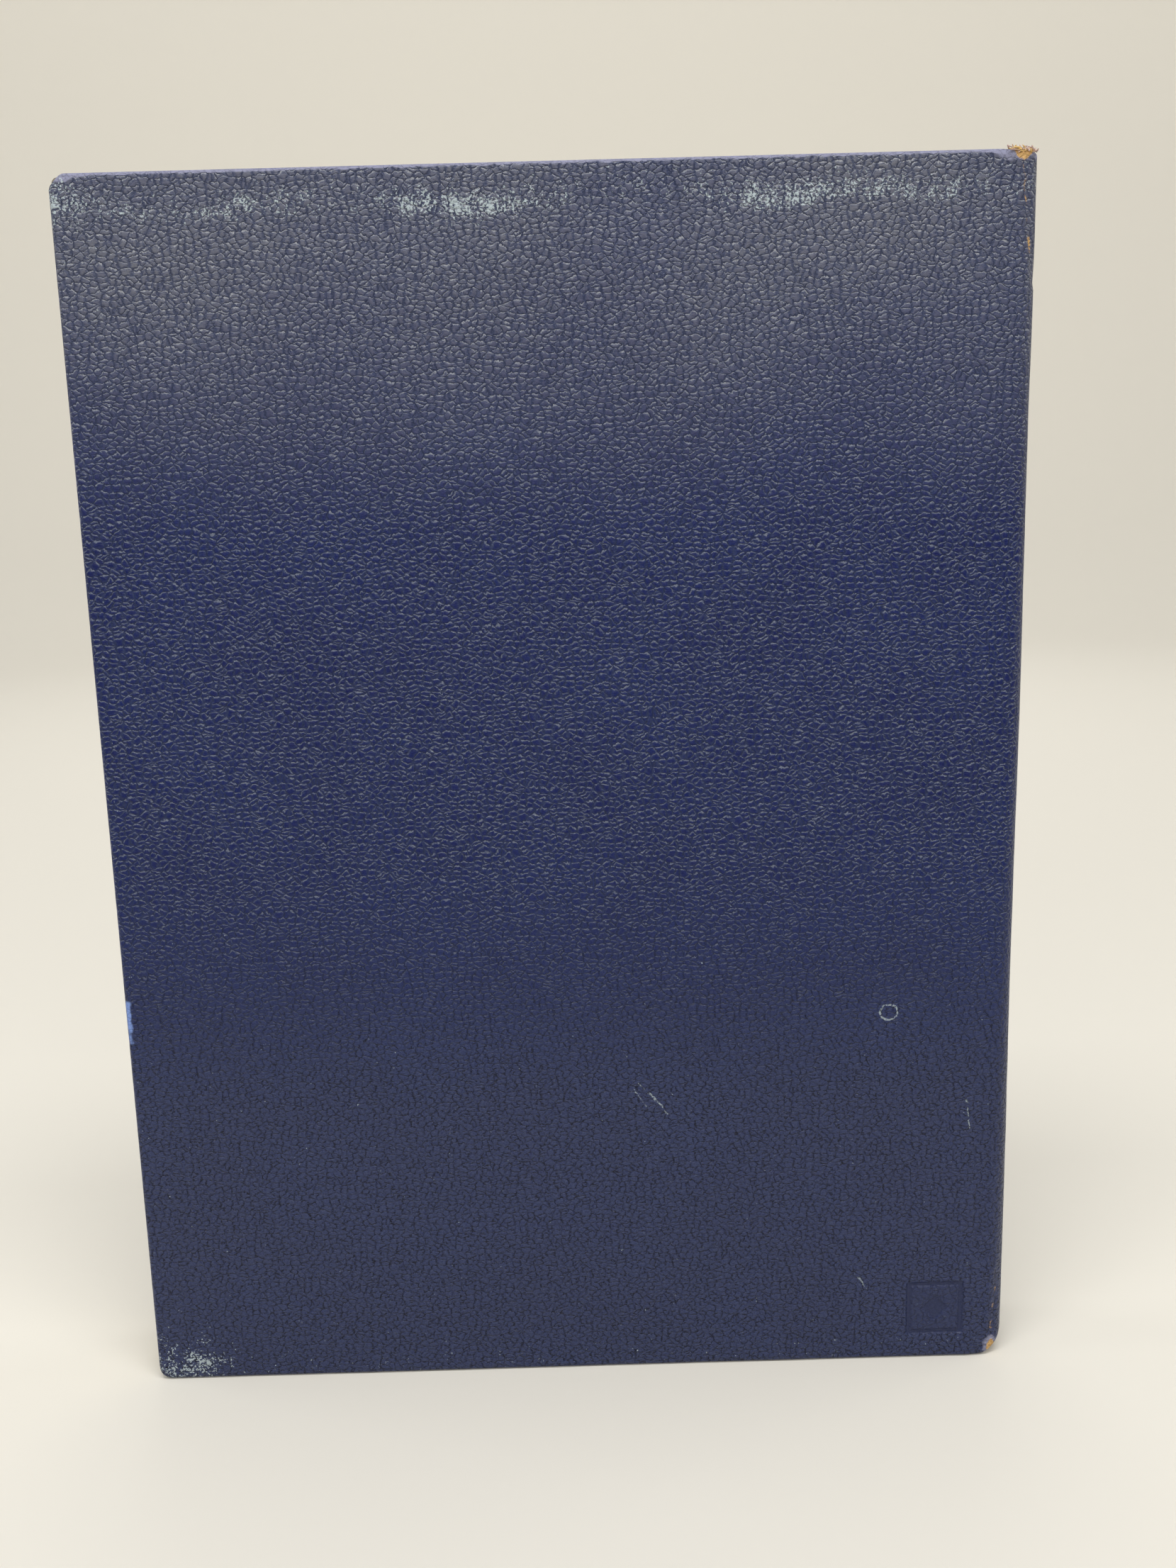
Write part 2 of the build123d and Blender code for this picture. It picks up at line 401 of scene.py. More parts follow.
def leather_grain(s, sheet):
    """The pebbles: height from 0 to 1, creases, soft rims, upper rims for a painted highlight and lower rims
    for a painted shade, as if lit from above.
    """
    bent = shifted(s, shifted(s, sheet, 4.5, 1.3, 1.0), 0.80, 0.85)
    distance = s.cells(s.stretch(bent, *PEBBLE_STRETCH), PEBBLE)
    dash = s.noise(s.stretch(sheet, 0.42, 1.9, 1.0), 0.40, 2.0, 0.6, flat=True)
    # Some creases are fainter, so that neighbouring pebbles run together.
    strength = s.step(s.noise(s.stretch(sheet, 1.5, 0.75, 1.0), 1.5, 1.0, flat=True), 0.34, 0.58)
    strength = s.add(s.times(strength, 0.55), 0.50)
    groove = s.add(s.times(s.invert(s.step(distance, 0.0, 0.17)), 0.50),
                   s.times(s.invert(s.step(distance, 0.0, 0.50)), 0.42))
    dome = s.add(0.92, s.times(s.times(groove, strength), -1.0))
    height = s.add(dome, s.times(dash, 0.36))
    ragged = s.add(distance, s.times(s.add(dash, -0.5), 0.55))
    crease = s.invert(s.step(ragged, 0.0, 0.12))
    rim = s.invert(s.step(ragged, 0.10, 0.36))
    # The cells seen a little lower down tell the rims that face up from those that face down: the upper rims
    # get a painted highlight and the lower ones a painted shade, as under light from above.
    below = s.vector_math("ADD", bent, (0.0, -RIM_WIDTH, 0.0))
    rise = s.math("SUBTRACT", s.cells(s.stretch(below, *PEBBLE_STRETCH), PEBBLE), distance)
    rise = s.add(rise, s.times(s.add(dash, -0.5), 0.12))
    upper = s.step(rise, 0.05, 0.14)
    lower = s.step(s.times(rise, -1.0), 0.03, 0.13)
    near = s.times(s.invert(s.step(distance, 0.04, 0.22)), strength)
    return height, s.times(crease, strength), rim, s.times(upper, near), s.times(lower, near)


def pebble_colour(s, sheet, blotch, middle):
    """The dyed pebbles: navy with fine dark fibres, a painted slate reflection of the pale floor low down,
    and a painted grey sheen towards the head.
    """
    colour = s.blend(s.times(s.step(middle, 0.25, 0.80), 0.6), NAVY, NAVY_LIGHT)
    # Painted reflection of the pale floor: slate pebbles low down.
    colour = s.blend(s.times(s.invert(s.number("painted_overhead_share")), 0.62), colour, PAINTED_FLOOR_REFLECTION)
    fibre = s.noise(s.stretch(sheet, 0.6, 1.7, 1.0), 0.34, 2.0, 0.6, flat=True)
    colour = s.blend(s.times(s.step(fibre, 0.42, 0.60), 0.62), colour, NAVY_DEEP)
    colour = s.blend(s.times(s.step(blotch, 0.40, 0.80), 0.10), colour, NAVY_DARK)
    colour = s.blend(s.times(s.number("pressed"), 0.55), colour, NAVY_DARK)
    # Painted grey sheen of light from above, towards the head.
    return s.blend(s.times(s.number("painted_sheen"), s.add(0.5, s.times(blotch, 0.5))), colour, PAINTED_SHEEN_GREY)


def crease_colour(s, colour, crease, rim, upper, lower):
    """Painted light in the grain, as under light from above: painted shade in the creases and under the
    lower rims, a painted sheen on the rims and a painted highlight on the upper rims.
    """
    painted_overhead_share = s.number("painted_overhead_share")
    # Painted sheen on the rims, higher up the book.
    colour = s.blend(s.times(s.times(rim, painted_overhead_share), 0.65), colour, PAINTED_RIM_SHEEN)
    # Painted shade in the creases, strongest low down.
    colour = s.blend(s.times(crease, s.add(0.85, s.times(painted_overhead_share, -0.65))), colour, PAINTED_CREASE_SHADE)
    # Painted shade under the lower rims, higher up the book.
    colour = s.blend(s.times(s.times(lower, painted_overhead_share), 0.70), colour, PAINTED_CREASE_SHADE)
    # Painted highlight on the upper rims, higher up the book and paler towards the head.
    pale = s.blend(s.number("painted_sheen"), PAINTED_RIM_HIGHLIGHT, PAINTED_HEAD_RIM_HIGHLIGHT)
    return s.blend(s.times(s.times(upper, painted_overhead_share), 0.85), colour, pale)


def leather_material():
    """Navy pebble-grained leather, worn pale along its edges, with painted light and shade in its grain."""
    s = Shader("navy_pebble_leather")
    sheet = s.attribute("sheet")
    height, crease, rim, upper, lower = leather_grain(s, sheet)
    grained = s.invert(s.times(s.number("pressed"), 0.85))
    height = s.times(height, grained)
    crease = s.times(crease, grained)
    blotch = s.noise(sheet, 3.2, 3.0, 0.6, flat=True)
    middle = s.noise(sheet, 26.0, 3.0, flat=True)
    speckle = s.noise(sheet, 0.55, 1.0, 0.65, flat=True)
    colour = pebble_colour(s, sheet, blotch, middle)
    colour = crease_colour(s, colour, crease, rim, upper, lower)

    def patch(name, spread, low, high):
        return s.step(s.add(s.number(name), s.times(s.add(blotch, -0.5), spread)), low, high)

    # The wear over it: rubbed edges, along the spine's edge partly a painted reflection, flecks on the
    # pebbles' tops, and bare leather.
    wear_and_spine_sheen = patch("wear_and_spine_sheen", 1.1, 0.52, 0.80)
    colour = s.blend(s.times(wear_and_spine_sheen, 0.92), colour, LAVENDER)
    fleck = s.add(s.times(speckle, 0.65), s.times(blotch, 0.5))
    fleck = s.step(s.add(fleck, s.times(s.number("flecks"), 0.31)), 0.82, 0.92)
    fleck = s.times(fleck, s.step(height, 0.25, 0.7))
    colour = s.blend(s.times(fleck, 0.8), colour, FLECK)
    raw = patch("raw", 0.9, 0.5, 0.68)
    colour = s.blend(raw, colour, TAN)

    marks, scuffs, splits = leather_marks(s, s.attribute("rest"), speckle)
    colour = s.blend(s.times(marks, 0.6), colour, FLECK)
    colour = s.blend(scuffs, colour, SCUFF_BLUE)
    colour = s.blend(splits, colour, TAN)

    bare = s.most(wear_and_spine_sheen, raw, scuffs, splits)
    roughness = s.add(0.26, s.times(middle, 0.05))
    roughness = s.add(roughness, s.times(crease, 0.20))
    roughness = s.add(roughness, s.times(bare, 0.30))
    return s.surface(colour, roughness, s.bump(height, 0.28), Specular_IOR_Level=0.27)


# Scratches as (distance from the spine, height) in millimetres, start and end.
SCRATCHES = [
    ((88.0, 71.5), (84.5, 66.0)),
    ((86.5, 72.5), (81.5, 66.5)),
    ((84.0, 70.0), (80.0, 64.5)),
    ((36.0, 22.5), (33.0, 18.5)),
    ((10.5, 66.0), (9.8, 59.0)),
]

# Splits in the leather beside the spine as (x, y, z) in millimetres, start and end: two at the
# head and one at the tail.
SPLITS = [
    ((97.4, -11.9, 271.0), (98.6, -11.5, 262.0)),
    ((98.8, -11.4, 259.0), (100.2, -10.4, 249.5)),
    ((99.8, -10.8, 20.0), (98.4, -11.6, 7.0)),
]


def leather_marks(s, rest, speckle):
    """Scratches, a ring, the scuffed fore edge and the split creases by the spine."""
    wobble = s.vector_math("SUBTRACT", s.noise(rest, 2.4, 2.0, colour=True), (0.5, 0.5, 0.5))
    place = s.vector_math("ADD", rest, s.vector_math("SCALE", wobble, scale=1.5))
    centre = point_mm(29.0, 88.0)
    radius = s.vector_math("LENGTH", s.vector_math("SUBTRACT", place, centre))
    broken = s.step(speckle, 0.36, 0.52)
    marks = s.times(s.band(radius, 1.9, 0.10, 0.22), broken)
    for start, end in SCRATCHES:
        line = s.segment(place, point_mm(*start), point_mm(*end))
        marks = s.most(marks, s.times(s.invert(s.step(line, 0.06, 0.26)), broken))
    fore, face = FORE_X / MM, -OUTER / MM
    scuff = s.segment(place, (fore + 0.4, face, 86.0), (fore + 0.6, face, 95.0))
    scuffs = s.invert(s.step(scuff, 0.5, 1.1))
    lines = [s.invert(s.step(s.segment(place, start, end), 0.18, 0.5)) for start, end in SPLITS]
    splits = s.times(s.most(*lines), s.step(speckle, 0.36, 0.46))
    return marks, scuffs, splits


# ---- Leather covering ----

def wrap_profile(depth):
    """How leather turns over a board's edge: (outward from the inset line, depth below the face)."""
    points = [(share * (WRAP_INSET - WRAP_RADIUS), 0.0) for share in (0.34, 0.67, 1.0)]
    outer, inner = WRAP_RADIUS, min(WRAP_INNER_RADIUS, 0.42 * depth)
    outer = min(outer, 0.55 * depth)
    for i in range(1, 6):
        turn = math.radians(18 * i)
        points.append((WRAP_INSET - outer + outer * math.sin(turn), outer * (1 - math.cos(turn))))
    wall = depth - outer - inner
    for share in (0.5, 1.0):
        points.append((WRAP_INSET, outer + wall * share))
    for i in range(1, 4):
        turn = math.radians(30 * i)
        points.append((WRAP_INSET - inner * (1 - math.cos(turn)), depth - inner + inner * math.sin(turn)))
    for share in (0.25, 0.6, 1.0):
        points.append((WRAP_INSET - inner - (TURN_IN_SHOWN + WRAP_INSET - inner) * share, depth))
    return points


WRAP_COUNT = len(wrap_profile(WRAP_BOARD))


def lengths_along(points):
    """The distance travelled to each point of the profile from (0, 0)."""
    total, last, lengths = 0.0, (0.0, 0.0), []
    for p in points:
        total += math.dist(p, last)
        last = p
        lengths.append(total)
    return lengths


def face_columns(fine_mark):
    """x values across a cover's face, closer together at the mark and at the joint."""
    start = FORE_X + WRAP_INSET
    joint_start = BOARD_EDGE_X - 1.2 * MM
    joint = evenly(joint_start, JOINT_CENTRE_X, 0.8 * MM)
    if not fine_mark:
        return joined(evenly(start, joint_start, GRID_STEP), joint)
    low, high = MARK_X - MARK_ROOM * MARK_HALF, MARK_X + MARK_ROOM * MARK_HALF
    return joined(evenly(start, low, GRID_STEP), evenly(low, high, MARK_STEP),
                  [high, joint_start], joint)


def face_rows():
    """z values up the book, closer together at the mark."""
    low, high = MARK_Z - MARK_ROOM * MARK_HALF, MARK_Z + MARK_ROOM * MARK_HALF
    return joined(evenly(WRAP_INSET, low, MM), evenly(low, high, MARK_STEP),
                  evenly(high, HEIGHT - WRAP_INSET, GRID_STEP))


def tail_line(x, depth):
    """Where the lower edge of the leather is: worn round towards the spine."""
    reach = min(1.0, max(0.0, (x - (SPINE_X - TAIL_RADIUS)) / TAIL_RADIUS))
    rise = TAIL_RADIUS * (1 - math.sqrt(max(0.0, 1 - reach * reach)))
    cap = smoothstep(HINGE_DEPTH - abs(depth), 0.0, HINGE_DEPTH)
    return mix(rise, SPINE_TAIL - 0.6 * MM, cap)


def girth(side, fine_mark):
    """Stations across one cover and round its joint: (x, y, inward normal, wrap depth, length)."""
    stations = []
    for x in face_columns(fine_mark):
        share = smoothstep(x, BOARD_EDGE_X - MM, BOARD_EDGE_X + 1.5 * MM)
        stations.append((x, side * OUTER, Vector((0, -side, 0)), mix(WRAP_BOARD, WRAP_JOINT, share)))
    for i in range(1, 16):
        turn = math.radians(90 - 6 * i)
        outward = Vector((math.cos(turn), side * math.sin(turn), 0))
        x = JOINT_CENTRE_X + JOINT_RADIUS * outward.x
        y = side * HINGE_DEPTH + JOINT_RADIUS * outward.y
        stations.append((x, y, -outward, WRAP_JOINT))
    for depth in evenly(HINGE_DEPTH, SEAM_DEPTH, 0.4 * MM)[1:]:
        stations.append((SPINE_X, side * depth, Vector((-1, 0, 0)), WRAP_JOINT))
    return stations


def spine_girth():
    """Stations across the spine, from the back's seam to the front's."""
    depths = evenly(-SEAM_DEPTH, SEAM_DEPTH, 0.9 * MM)
    return [(SPINE_X, y, Vector((-1, 0, 0)), WRAP_JOINT) for y in depths]


def with_lengths(stations, start=0.0):
    """Adds the distance along the girth to each station."""
    placed, total, last = [], start, None
    for x, y, inward, depth in stations:
        if last is not None:
            total += math.dist((x, y), last)
        last = (x, y)
        placed.append((x, y, inward, depth, total))
    return placed


def corner_direction(turn):
    """The way out from an inset corner, squarer than a circle."""
    c, s = math.cos(turn), math.sin(turn)
    size = (abs(c) ** CORNER_POWER + abs(s) ** CORNER_POWER) ** (1 / CORNER_POWER)
    return c / size, s / size


def pressed_share(x, z):
    """How deeply the plain mark is pressed at a point: a square frame round a diamond."""
    across, up = abs(x - MARK_X), abs(z - MARK_Z)
    edge = max(across, up)
    frame_inside = MARK_HALF - MARK_LINE
    in_frame = smoothstep(edge, frame_inside - MARK_SOFT, frame_inside)
    in_frame *= fading(edge, MARK_HALF, MARK_HALF + MARK_SOFT)
    tile_half = MARK_HALF * TILE_SHARE
    return max(in_frame, fading(across + up, tile_half, tile_half + 1.4 * MARK_SOFT))


# Dents in the back cover: start (x, z), end (x, z), width, depth. Two creases by the spine, a long
# hollow under the head, one across the head's corner, and a knock on the fore edge.
DENTS = [
    ((97.6 * MM, HEIGHT), (100.8 * MM, 247 * MM), 0.8 * MM, 0.45 * MM),
    ((99.9 * MM, 22 * MM), (98.2 * MM, 2 * MM), 0.8 * MM, 0.45 * MM),
    ((-60 * MM, 262 * MM), (85 * MM, 264 * MM), 5 * MM, 0.30 * MM),
    ((70 * MM, 268 * MM), (90 * MM, 225 * MM), 9 * MM, 0.35 * MM),
    ((-98 * MM, 95 * MM), (-100 * MM, 86 * MM), 1.2 * MM, 0.50 * MM),
]


def sink(x, y, z):
    """How far the leather's face lies below its flat, for the mark, the joint and the waves."""
    side = 1 if y > 0 else -1
    amount = 0.10 * MM * (1 + wave(x, y, z, 32 * MM, 3.1)) + 0.05 * MM * (1 + wave(x, y, z, 9 * MM, 7.7))
    dip = bell(x - (BOARD_EDGE_X + 2.4 * MM), 2.6 * MM)
    ridge = bell(x - (BOARD_EDGE_X - 1.5 * MM), 2.5 * MM)
    uneven = 0.7 + 0.5 * wave(0, side, z, 45 * MM, 6.0)
    amount += dip * uneven * 0.34 * MM - ridge * 0.08 * MM
    if side < 0:
        amount += MARK_SINK * pressed_share(x, z)
        for start, end, width, deep in DENTS:
            amount += deep * bell(distance_to_line(x, z, start, end), width)
    return MOST_SUNK * math.tanh(amount / MOST_SUNK)


def distance_to_line(x, z, start, end):
    """How far a point of the face is from a straight line between two points."""
    ax, az = start
    bx, bz = end
    length2 = (bx - ax) ** 2 + (bz - az) ** 2
    share = min(1.0, max(0.0, ((x - ax) * (bx - ax) + (z - az) * (bz - az)) / length2))
    return math.dist((x, z), (ax + share * (bx - ax), az + share * (bz - az)))


def worn_shape(p):
    """Moves a point of the covering for bumped corners and a frayed head."""
    side = 1 if p.y > 0 else -1
    clip = 3.0 * MM if side < 0 else 2.0 * MM
    corner = (p.x - FORE_X) + (HEIGHT - p.z)
    if corner < clip:
        push = (clip - corner) * 0.42
        p = p + Vector((push, 0, -push))
    near_spine = smoothstep(p.x, SPINE_X - 9 * MM, SPINE_X - 3 * MM)
    near_head = smoothstep(p.z, HEIGHT - 3 * MM, HEIGHT)
    ragged = wave(p.x, p.y, p.z, 1.9 * MM, 5.0) * 0.45 * MM
    p.z += near_spine * near_head * (ragged - 0.35 * MM)
    near_tail = fading(p.z, 0.0, 9 * MM)
    p.z += near_spine * near_tail * wave(p.x, p.y, p.z, 2.5 * MM, 9.0) * 0.35 * MM
    p.x += wave(0, p.y, p.z, 60 * MM, 2.0) * 0.25 * MM * smoothstep(p.x, 0.0, SPINE_X)
    p.z = max(p.z, LOWEST)
    return p


class Spot:
    """Where a point of the covering lies, in millimetres from the book's edges."""

    def __init__(self, p):
        self.x, self.z = p.x / MM, p.z / MM
        self.head = HEIGHT / MM - self.z
        self.fore = self.x - FORE_X / MM
        self.spine = SPINE_X / MM - self.x
        self.inside = OUTER / MM - abs(p.y / MM)
        self.corner = math.hypot(self.head, self.fore)
        self.tail_corner = math.hypot(self.z - 2.2, self.spine - 3.0)
        self.strength = 1.0 if p.y < 0 else 0.75


def dust_on(spot):
    """A painted grey sheen of light from above, strongest towards the head, and a faint painted reflection
    of the floor low down.
    """
    cloudy = 0.8 + 0.4 * wave(spot.x, 0, spot.z, 45.0, 1.0)
    return 0.80 * smoothstep(spot.z, 192, 262) * cloudy + 0.06 * fading(spot.z, 60, 105)


def worn_on(spot):
    """Where the dye is rubbed off: the edges, the head's corners, the spine's fold, the tail corner. Along
    the spine's fold it is partly a painted reflection of bright light at the edge.
    """
    wear_and_spine_sheen = spot.strength * (0.95 * fading(spot.head, 0.2, 1.5) + 0.5 * fading(spot.fore, 0.1, 0.9))
    edge = min(spot.head, spot.fore)
    wear_and_spine_sheen += 0.35 * smoothstep(spot.inside, 0.3, 1.2) * fading(edge, 0.2, 1.4)
    wear_and_spine_sheen += 0.9 * fading(spot.corner, 3.0, 9.0) * fading(spot.head, 1.0, 3.0)
    head_spine = math.hypot(spot.head, spot.spine - 2)
    wear_and_spine_sheen += 0.8 * fading(head_spine, 4.0, 11.0) * fading(spot.head, 1.5, 4.0)
    # Along the spine's outermost line: partly rubbed dye, partly a painted reflection of bright light
    # grazing the edge.
    wear_and_spine_sheen += 0.35 * fading(abs(spot.spine), 0.0, 0.5) * smoothstep(spot.z, 20, 260)
    return wear_and_spine_sheen + 0.8 * fading(spot.tail_corner, 1.5, 4.5)


def flecks_on(spot):
    """Pale flecks: a broken band below the head, and the corners and edges by the fore edge."""
    band = bell(spot.head - 7.0 + 2.5 * wave(spot.x, 0, 0, 30.0), 3.4)
    along = 0.45 + 0.55 * smoothstep(wave(spot.x, 0, 0, 34.0, 4.0), -0.25, 0.35)
    flecks = band * along
    flecks += 0.16 * band * smoothstep(spot.spine, 12, 20) * fading(spot.spine, 34, 46)
    flecks += 0.35 * bell(spot.corner, 16.0)
    flecks += 0.75 * bell(math.hypot(spot.z - 4, spot.fore - 8), 9.0)
    flecks += 0.2 * bell(spot.z - 3, 3.0) + 0.2 * bell(spot.fore, 2.5)
    return flecks * spot.strength


def raw_on(spot):
    """Bare tan leather: the head's two corners, the tail corner and one spot on the spine's fold."""
    raw = fading(spot.corner, 0.8, 2.6)
    raw += 0.9 * fading(math.hypot(spot.head, spot.spine - 4.0), 1.2, 3.6)
    raw += 0.85 * fading(spot.tail_corner, 0.6, 2.9)
    return raw + 0.5 * fading(math.hypot(spot.z - 24.0, spot.spine), 0.3, 1.6)


def pressed_on(p):
    """The mark on the back cover, and its slightly flattened ground."""
    if p.y >= 0:
        return 0.0
    edge = max(abs(p.x - MARK_X), abs(p.z - MARK_Z))
    return max(0.5 * fading(edge, MARK_HALF, MARK_HALF + 0.6 * MM), pressed_share(p.x, p.z))


# The names of the attributes for the painted light and the wear, in the order that the function below gives
# them.
WEAR_AND_PAINTED_LIGHT = ("painted_overhead_share", "painted_sheen", "wear_and_spine_sheen", "flecks", "raw", "pressed")


def wear_at(p):
    """At a point of the covering: how far the grain's painted light from above takes over from its painted
    floor reflection, the painted sheen, and the kinds of wear.
    """
    spot = Spot(p)
    # Painted light: the pebbles take a painted floor reflection below 68 mm, and painted highlights, sheen
    # and shade from above over 135 mm, blending between.
    painted_overhead_share = smoothstep(spot.z, 68, 135)
    return painted_overhead_share, dust_on(spot), worn_on(spot), flecks_on(spot), raw_on(spot), pressed_on(p)


def folded_point(station, wrap, fore_ring, end_ring, share, end):
    """Where a point of the covering lies: (place, place on the flat sheet, depth below the face).

    The rings count outwards from the inset lines, over the fore edge and over the head or tail.
    share is how far up the face the point is, and end is -1 at the tail and 1 at the head.
    """
    x, y, inward, _, length = station
    profile, lengths = wrap
    z = mix(tail_line(x, y) + WRAP_INSET, HEIGHT - WRAP_INSET, share)
    if not fore_ring and not end_ring:
        return Vector((x, y, z)), (length, z), 0.0
    out, deep = profile[max(fore_ring, end_ring) - 1]
    ox, oz = (1.0, 0.0) if fore_ring else (0.0, 1.0)
    if fore_ring and end_ring:
        out = max(out, 0.0)
        ox, oz = corner_direction(math.pi / 2 * end_ring / (fore_ring + end_ring))
    place = Vector((x - out * ox, y, z + end * out * oz)) + inward * deep
    u = length - (lengths[fore_ring - 1] if fore_ring else 0.0)
    v = z + end * (lengths[end_ring - 1] if end_ring else 0.0)
    return place, (u, v), deep


def leather_piece(name, stations, side, fore_wrap):
    """One stretch of the covering, from a fore edge's turn-in (if any) along its stations."""
    rows = face_rows()
    across = [(k, stations[0]) for k in range(WRAP_COUNT, 0, -1)] if fore_wrap else []
    across += [(0, s) for s in stations]
    up = [(k, 0.0, -1) for k in range(WRAP_COUNT, 0, -1)]
    up += [(0, (z - rows[0]) / (rows[-1] - rows[0]), 0) for z in rows]
    up += [(k, 1.0, 1) for k in range(1, WRAP_COUNT + 1)]
    points, sheet = [], []
    for fore_ring, station in across:
        inward, depth = station[2:4]
        profile = wrap_profile(depth)
        wrap = (profile, lengths_along(profile))
        for end_ring, share, end in up:
            p, (u, v), deep = folded_point(station, wrap, fore_ring, end_ring, share, end)
            face_share = fading(deep, 0.3 * MM, 1.2 * MM)
            p = p + inward * (sink(p.x, p.y, p.z) * face_share)
            points.append(worn_shape(p))
            sheet.append(Vector((u, v, 0.05 * side)))
    piece = mesh_piece(name, points, grid_faces(len(across), len(up), flip=side > 0))
    store(piece, "sheet", sheet)
    apply_modifier(piece, "WELD", merge_threshold=0.001 * MM)
    apply_modifier(piece, "SOLIDIFY", thickness=SKIN, offset=-1.0)
    store_rest(piece)
    wear_and_light = [wear_at(v.co) for v in piece.data.vertices]
    for index, label in enumerate(WEAR_AND_PAINTED_LIGHT):
        store(piece, label, [float(w[index]) for w in wear_and_light])
    return piece


def make_covering(leather):
    """The leather of the back cover, the spine and the front cover, which meet at two seams."""
    back = with_lengths(girth(-1, True))
    spine = with_lengths(spine_girth(), back[-1][4])
    front_length = spine[-1][4]
    front = with_lengths(girth(1, False))
    total = front[-1][4]
    front = [(x, y, n, d, front_length + total - length) for x, y, n, d, length in front]
    pieces = {
        "back": leather_piece("back_cover_leather", back, -1, True),
        "spine": leather_piece("spine_covering", spine, -1, False),
        "front": leather_piece("front_cover_leather", front, 1, True),
    }
    for key, piece in pieces.items():
        piece.data.materials.append(leather)
        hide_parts(key + "_leather")
    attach(pieces["spine"], "text_block")
    for key, side in (("back", -1), ("front", 1)):
        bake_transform(pieces[key])


# ---- Paper, cloth and board ----

PAPER = srgb(236, 228, 206)
PAPER_AGED = srgb(222, 207, 172)
PAPER_SOILED = srgb(178, 152, 112)
PAPER_END = srgb(230, 220, 196)
INK_BLUE = srgb(120, 150, 176)
INK_RED = srgb(178, 96, 88)

# The ruling, in millimetres: the rows' heights, and the columns' x
ROW_PITCH = 7.0
ROWS_LOW = 14.0
ROWS_HIGH = 246.0
COLUMNS = [-84.0, -66.0, -44.0, -22.0, -6.0, 10.0, 26.0, 42.0, 58.0, 76.0]

# The width of one stripe of the bands in millimetres, and the joint cloth's threads in radians
# per millimetre
BAND_STRIPE = 0.9
CLOTH_RATE = 14.0


def fibrous(name, colour, dark, size):
    """Board or paper: a mottled colour with short fibres, about size millimetres long."""
    s = Shader(name)
    place = s.object_place()
    mottled = s.step(s.noise(place, 14 * size, 3.0), 0.3, 0.75)
    fibre = s.noise(s.stretch(place, 0.35, 1.0, 1.6), size, 3.0, 0.7)
    tone = s.blend(s.times(mottled, 0.6), colour, dark)
    tone = s.blend(s.times(s.step(fibre, 0.55, 0.8), 0.35), tone, dark)
    return s.surface(tone, s.add(0.80, s.times(fibre, 0.12)), s.bump(fibre, 0.05))


def woven(name, colour, dark, pitch, depth, stripe=None):
    """Cloth with crossed threads, open like gauze where the pitch is wide."""
    s = Shader(name)
    place = s.object_place()
    parts = s.parts(place)
    around = s.add(parts[0], parts[1])
    across = s.math("ABSOLUTE", s.math("SINE", s.times(around, math.pi / pitch)))
    along = s.math("ABSOLUTE", s.math("SINE", s.times(parts[2], math.pi / pitch)))
    weave = s.most(across, along)
    tone = s.blend(s.step(weave, 0.55, 0.9), dark, colour)
    if stripe:
        rib = s.math("SINE", s.times(parts[1], math.pi / BAND_STRIPE))
        tone = s.blend(s.step(rib, -0.25, 0.25), tone, stripe)
    tone = s.blend(s.times(s.step(s.noise(place, 6.0, 3.0), 0.4, 0.8), 0.3), tone, dark)
    return s.surface(tone, 0.85, s.bump(weave, depth), Sheen_Weight=0.2)


def ruled_paper():
    """Aged ledger paper with blue rows and red columns, which the leaves carry without any words."""
    s = Shader("ruled_ledger_paper")
    place = s.attribute("rest")
    parts = s.parts(place)
    mottled = s.noise(place, 40.0, 3.0)
    fibre = s.noise(s.stretch(place, 0.4, 1.0, 1.0), 0.7, 3.0, 0.7)
    tone = s.blend(s.step(mottled, 0.3, 0.8), PAPER, PAPER_AGED)
    row = s.math("ABSOLUTE", s.math("SUBTRACT", s.math("FRACT", s.times(parts[2], 1 / ROW_PITCH)), 0.5))
    ink = s.invert(s.step(row, 0.008, 0.03))
    above = s.step(parts[2], ROWS_LOW, ROWS_LOW + 0.1)
    below = s.invert(s.step(parts[2], ROWS_HIGH, ROWS_HIGH + 0.1))
    inside = s.times(above, below)
    tone = s.blend(s.times(s.times(ink, inside), 0.55), tone, INK_BLUE)
    columns = s.most(*[s.band(parts[0], x, 0.10, 0.10) for x in COLUMNS])
    tone = s.blend(s.times(columns, 0.6), tone, INK_RED)
    return s.surface(tone, s.add(0.78, s.times(fibre, 0.12)), s.bump(fibre, 0.03))


def page_edges():
    """The cut edges of the sheets, dustier than their faces."""
    s = Shader("page_edges")
    place = s.attribute("rest")
    streak = s.noise(s.stretch(place, 0.12, 9.0, 0.12), 1.0, 2.0, 0.7)
    soil = s.step(s.noise(place, 30.0, 3.0), 0.35, 0.8)
    tone = s.blend(s.step(streak, 0.35, 0.7), PAPER, PAPER_AGED)
    tone = s.blend(s.times(soil, 0.45), tone, PAPER_SOILED)
    return s.surface(tone, 0.88, s.bump(streak, 0.05))


def end_paper():
    """Heavy cream endpaper with a few pale brown spots of age."""
    s = Shader("cream_endpaper")
    place = s.attribute("rest")
    fibre = s.noise(place, 0.8, 4.0, 0.7)
    tone = s.blend(s.step(s.noise(place, 60.0, 3.0), 0.35, 0.75), PAPER_END, PAPER_AGED)
    spots = s.step(s.noise(place, 7.0, 4.0, 0.7), 0.68, 0.78)
    tone = s.blend(s.times(spots, 0.35), tone, PAPER_SOILED)
    return s.surface(tone, s.add(0.76, s.times(fibre, 0.12)), s.bump(fibre, 0.05))


